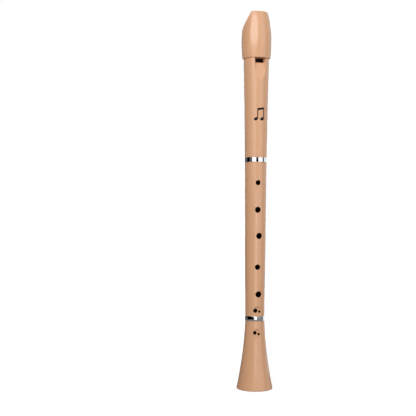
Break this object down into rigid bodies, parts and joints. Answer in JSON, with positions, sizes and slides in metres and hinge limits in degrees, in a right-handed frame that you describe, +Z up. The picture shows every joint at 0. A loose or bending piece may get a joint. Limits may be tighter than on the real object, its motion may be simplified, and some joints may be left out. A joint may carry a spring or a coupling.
{
  "type": "soprano recorder",
  "caption": "Soprano recorder of joined sections: tapered satin tubes with finger holes, a beaked mouthpiece with windway and window, chrome ferrules and corked tenons.",
  "frame": {"origin": "centre of the bell's bottom rim, where the recorder stands", "axes": "+Z up along the air column to the lip; the finger holes face -Y and the small hole of each pair is on their +X side"},
  "size_m": [0.0316, 0.0316, 0.33],
  "materials": {
    "mouthpiece_cap": "satin",
    "windway_block": "satin",
    "head_tube": "satin",
    "head_ferrule": "mirror polished",
    "upper_tenon_cork": "fine sanded cork",
    "middle_joint": "satin",
    "lower_tenon_cork": "fine sanded cork",
    "foot_ferrule": "mirror polished",
    "foot_joint": "satin"
  },
  "bodies": {
    "middle": {"middle_joint": "middle_joint", "upper_tenon_cork": "upper_tenon_cork", "lower_tenon_cork": "lower_tenon_cork"},
    "head_ring": {"head_ferrule": "head_ferrule"},
    "head": {"head_tube": "head_tube", "mouthpiece_cap": "mouthpiece_cap", "windway_block": "windway_block"},
    "foot_ring": {"foot_ferrule": "foot_ferrule"},
    "foot": {"foot_joint": "foot_joint"}
  },
  "joints": [
    {"name": "head_slide", "type": "slide", "parent": "middle", "child": "head_ring", "axis": [0, 0, 1], "range_m": [0, 0.03]},
    {"name": "head_turn", "type": "hinge", "parent": "head_ring", "child": "head", "pos_m": [0, 0, 0.2008], "axis": [0, 0, 1], "continuous": true},
    {"name": "foot_slide", "type": "slide", "parent": "middle", "child": "foot_ring", "axis": [0, 0, -1], "range_m": [0, 0.02]},
    {"name": "foot_turn", "type": "hinge", "parent": "foot_ring", "child": "foot", "pos_m": [0, 0, 0.0619], "axis": [0, 0, 1], "continuous": true}
  ]
}
